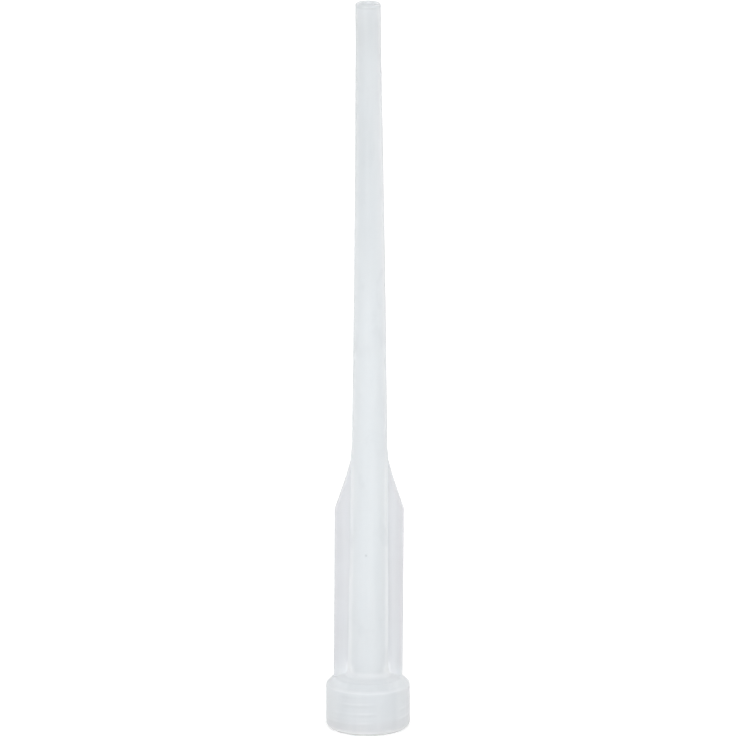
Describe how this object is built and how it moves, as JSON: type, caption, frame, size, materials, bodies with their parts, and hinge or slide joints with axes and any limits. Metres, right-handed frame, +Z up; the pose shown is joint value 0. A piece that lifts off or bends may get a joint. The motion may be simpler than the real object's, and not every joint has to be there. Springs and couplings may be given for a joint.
{
  "type": "sealant cartridge nozzle",
  "caption": "Long slender applicator nozzle moulded in one piece, with an internally threaded collar, flat grip wings and a tapered tube that is open at the tip.",
  "frame": {"origin": "centre of the collar's rim, on which the nozzle stands", "axes": "+Z up along the nozzle's axis to the open tip, X across the grip wings, and -Y towards the picture's camera"},
  "size_m": [0.0212, 0.0212, 0.19],
  "materials": {
    "polyethylene": "natural, undyed low-density polyethylene: milky and translucent, satin with soft highlights"
  },
  "bodies": {
    "root": {"nozzle": "polyethylene"}
  },
  "joints": []
}
